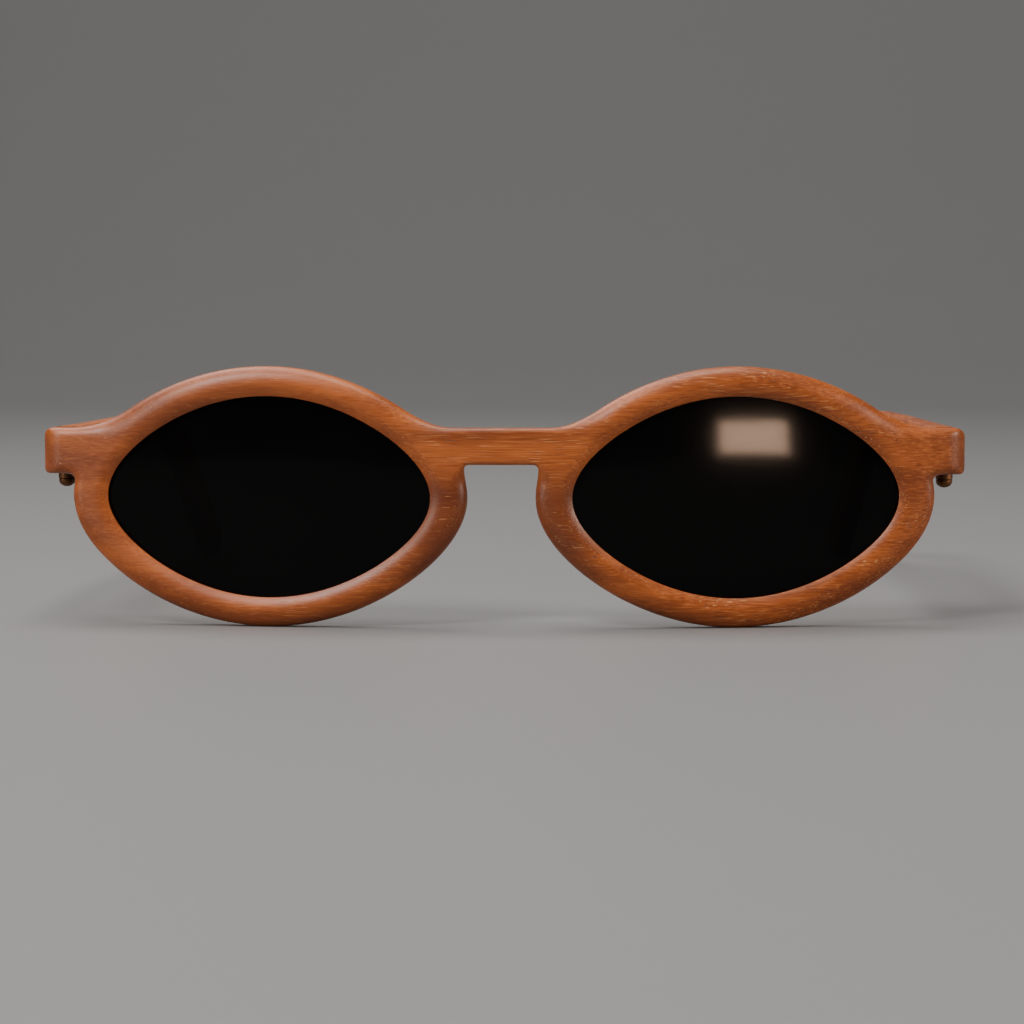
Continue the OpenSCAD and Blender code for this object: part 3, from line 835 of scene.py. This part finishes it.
def hinge_cuts():
    """The notch for the knuckles, and the pockets for the housing and its tab, as boxes."""
    start = ARM_INNER - PROUD
    half_housing, half_tab = HOUSING_H / 2 + FIT, TAB_H / 2 + FIT
    housing_end = HOUSING_Y + HOUSING_L + FIT
    return [
        ((start, ARM_Y - PROUD, ARM_UNDER - PROUD),
         (PIVOT.x + KNUCKLE_ROOM, HOUSING_Y + FIT, ARM_UNDER + ARM_H + PROUD)),
        ((start, HOUSING_Y - PROUD, HINGE_Z - half_housing),
         (ARM_INNER + HOUSING_W + FIT, housing_end, HINGE_Z + half_housing)),
        ((start, HOUSING_Y, HINGE_Z - half_tab),
         (ARM_INNER + TAB_T + FIT, housing_end + TAB_L, HINGE_Z + half_tab)),
    ]


def box_cutter(side, lo, hi):
    """A box between two corners, in mm, on one side of the glasses."""
    bm = bmesh.new()
    corners = [bm.verts.new((side * x * MM, y * MM, z * MM))
               for x in (lo[0], hi[0]) for y in (lo[1], hi[1]) for z in (lo[2], hi[2])]
    for f in ((0, 1, 3, 2), (4, 6, 7, 5), (0, 4, 5, 1), (2, 3, 7, 6), (0, 2, 6, 4), (1, 5, 7, 3)):
        bm.faces.new([corners[i] for i in f])
    bmesh.ops.recalc_face_normals(bm, faces=bm.faces)
    mesh = bpy.data.meshes.new("cut")
    bm.to_mesh(mesh)
    bm.free()
    cutter = bpy.data.objects.new("cut", mesh)
    bpy.context.collection.objects.link(cutter)
    return cutter


def carve(piece, cutter):
    """Takes the cutter's shape out of a piece's mesh, and removes the cutter."""
    modifier = piece.modifiers.new("cut", "BOOLEAN")
    modifier.operation = "DIFFERENCE"
    modifier.solver = "EXACT"
    modifier.object = cutter
    bpy.context.view_layer.update()
    evaluated = piece.evaluated_get(bpy.context.evaluated_depsgraph_get())
    result = bpy.data.meshes.new_from_object(evaluated)
    piece.modifiers.clear()
    piece.data = result
    bpy.data.objects.remove(cutter)


def build_arm(side, name, node, body):
    """A wooden arm with a bend over the ear, a hinge notch and the housing's pockets."""
    sections = arm_sections(side)
    verts = [point for section in sections for point in section]
    count, total = len(sections[0]), len(verts)
    faces = []
    for start in range(0, total - count, count):
        for k in range(count):
            j = (k + 1) % count
            faces.append((start + k, start + j, start + count + j, start + count + k))
    faces.append(tuple(range(count - 1, -1, -1)))
    faces.append(tuple(range(total - count, total)))
    if side == RIGHT:
        faces = [f[::-1] for f in faces]
    piece = make_piece(name, verts, faces, wood_arm, body, [node])
    bm = bmesh.new()
    bm.from_mesh(piece.data)
    bmesh.ops.recalc_face_normals(bm, faces=bm.faces)
    bm.to_mesh(piece.data)
    bm.free()
    for lo, hi in hinge_cuts():
        carve(piece, box_cutter(side, lo, hi))
    piece.data.shade_smooth()
    piece.data.set_sharp_from_angle(angle=math.radians(38))
    return piece


build_arm(LEFT, "left_arm_carved", "left_arm", "left_temple")
build_arm(RIGHT, "right_arm_carved", "right_arm", "right_temple")


# ---------------------------------------------------------------- metal pieces
# All but the nut keep their CAD shape: each one's material, and the width of its bevels in mm
METAL_PIECES = {
    "hinge_plate": (bronze, 0.08),
    "hinge_slider": (bronze, 0.06),
    "spring_housing": (bronze, 0.08),
    "plate_screws": (screw_metal, 0.03),
    "housing_screws": (screw_metal, 0.03),
    "pivot_screw": (screw_metal, 0.05),
    "spring_stop": (spring_metal, 0.03),
    "flex_spring": (spring_metal, 0),
}
# the nut: its bore, the straight collar over the dome, and the chamfer of its top edge
NUT_BORE, NUT_COLLAR, NUT_CHAMFER, NUT_CHAMFER_H, NUT_AROUND = 0.62, 0.3, 0.12, 0.1, 40


def dress(node, material, edge):
    """Gives a CAD node its material, and a fine bevel along its sharp edges."""
    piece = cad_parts[node]
    for slot in piece.material_slots:
        slot.material = material
    if edge:
        bevel = piece.modifiers.new("edge", "BEVEL")
        bevel.width = edge * MM
        bevel.segments = 2
        bevel.limit_method = "ANGLE"
        bevel.angle_limit = math.radians(40)


def build_cap(word):
    """The domed lock nut that shows under the end piece, turned from a profile."""
    lo, hi = (Vector(c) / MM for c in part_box(word + "_pivot_nut"))
    middle, radius, height = (lo + hi) / 2, (hi.x - lo.x) / 2, hi.z - lo.z
    dome = height - NUT_COLLAR
    profile = [(NUT_BORE, height), (radius - NUT_CHAMFER, height), (radius, height - NUT_CHAMFER_H)]
    profile += [(radius * math.cos(a), dome * (1 - math.sin(a)))
                for a in (math.radians(t) for t in range(0, 90, 10))]
    turns = [2 * math.pi * k / NUT_AROUND for k in range(NUT_AROUND)]
    verts = [(middle.x + r * math.cos(t), middle.y + r * math.sin(t), lo.z + z)
             for r, z in profile for t in turns]
    faces = []
    for i in range(len(profile) - 1):
        for k in range(NUT_AROUND):
            j = (k + 1) % NUT_AROUND
            row, below = i * NUT_AROUND, (i + 1) * NUT_AROUND
            faces.append((row + k, below + k, below + j, row + j))
    for ring, z in ((0, height), (len(profile) - 1, 0.0)):
        hub = len(verts)
        verts.append((middle.x, middle.y, lo.z + z))
        for k in range(NUT_AROUND):
            pair = (ring * NUT_AROUND + k, ring * NUT_AROUND + (k + 1) % NUT_AROUND)
            faces.append((hub, *(pair if ring == 0 else pair[::-1])))
    return make_piece(word + "_nut_cap", verts, faces, bronze, "front",
                      [word + "_pivot_nut"], sharp=35)


for word in ("left", "right"):
    build_cap(word)
    for kind, (material, edge) in METAL_PIECES.items():
        dress(f"{word}_{kind}", material, edge)


# ---------------------------------------------------------------- floor and light
# in metres: half the floor's side, where it starts to curve, the curve's radius, and its top
FLOOR_HALF, FLOOR_RUN, FLOOR_CURVE, FLOOR_TOP = 6.0, 0.9, 0.8, 3.2


def backdrop():
    """A pale floor that curves up behind the glasses."""
    n = Nodes("pale_floor")
    n.set("Base Color", (0.47, 0.455, 0.44, 1.0))
    n.set("Roughness", 0.5)
    verts, faces = [], []
    run = [(-FLOOR_HALF, 0.0), (0.0, 0.0), (FLOOR_RUN, 0.0)]
    run += [(FLOOR_RUN + FLOOR_CURVE * math.sin(a), FLOOR_CURVE * (1 - math.cos(a)))
            for a in (math.radians(t) for t in range(10, 91, 10))]
    run.append((FLOOR_RUN + FLOOR_CURVE, FLOOR_TOP))
    for y, z in run:
        verts += [(-FLOOR_HALF, y, z), (FLOOR_HALF, y, z)]
    for i in range(len(run) - 1):
        faces.append((2 * i, 2 * i + 1, 2 * i + 3, 2 * i + 2))
    mesh = bpy.data.meshes.new("floor")
    mesh.from_pydata(verts, [], faces)
    mesh.shade_smooth()
    mesh.materials.append(n.material)
    floor = bpy.data.objects.new("floor", mesh)
    bpy.context.collection.objects.link(floor)
    return floor


def area_light(name, at, aim, size, power, colour=(1, 1, 1)):
    """A rectangular light at a place in metres, facing its aim, with its power in watts."""
    data = bpy.data.lights.new(name, "AREA")
    data.shape = "RECTANGLE"
    data.size, data.size_y = size
    data.energy = power
    data.color = colour
    light = bpy.data.objects.new(name, data)
    bpy.context.collection.objects.link(light)
    light.location = at
    light.rotation_euler = (Vector(aim) - Vector(at)).to_track_quat("-Z", "Y").to_euler()
    light.visible_camera = False
    return light


def light_only(light, objects, leave_out=False):
    """Limits a light to some objects, or to everything but them."""
    group = bpy.data.collections.new(light.name + "_lit")
    for obj in objects:
        group.objects.link(obj)
    if leave_out:
        for item in group.collection_objects:
            item.light_linking.link_state = "EXCLUDE"
    light.light_linking.receiver_collection = group


floor = backdrop()
centre = Vector((0, Y0 * MM, LENS_Z * MM))
area_light("overhead", (-0.15, -0.05, 0.85), centre, (0.8, 0.55), 5.2)
area_light("key", (-0.4, -0.8, 0.75), centre, (0.35, 0.3), 4.0)
# these model the wood without lifting the floor
for light in (
    area_light("lift_top", (-0.4, 0.25, 0.7), centre, (0.7, 0.5), 5.0),
    area_light("lift_front", (-0.55, -0.6, 0.6), centre, (0.28, 0.28), 6.0, (1.0, 0.96, 0.92)),
    area_light("lift_left", (-0.8, -0.6, 0.15), centre, (0.15, 0.3), 2.5, (1.0, 0.95, 0.9)),
    area_light("lift_right", (0.8, -0.35, 0.25), centre, (0.15, 0.35), 5.0, (1.0, 0.9, 0.8)),
    area_light("lift_high", (0.1, -0.3, 0.9), centre, (0.3, 0.3), 4.0, (1.0, 0.88, 0.7)),
):
    light_only(light, [floor], leave_out=True)
# the small softbox mirrored in the wearer's left lens, in line with the reflected view of it
GLINT_AIM = Vector((38.8, Y0 + 3.1, LENS_Z + 9.4)) * MM
GLINT_WAY, GLINT_AWAY = Vector((0.350, -0.936, 0.0285)), 0.55
glint = area_light("lens_glint", GLINT_AIM + GLINT_AWAY * GLINT_WAY, GLINT_AIM,
                   (0.118, 0.060), 1.95, (1.0, 0.64, 0.44))
glint.visible_diffuse = False
light_only(glint, [left_lens, right_lens])
back_wash = area_light("back_wash", (0, 0.9, 1.6), (0, 1.7, 0.9), (1.5, 0.3), 4.0)
light_only(back_wash, [floor])
world = bpy.data.worlds.new("studio")
world.use_nodes = True
world.node_tree.nodes["Background"].inputs["Color"].default_value = (0.62, 0.61, 0.6, 1)
world.node_tree.nodes["Background"].inputs["Strength"].default_value = 0.07
bpy.context.scene.world = world
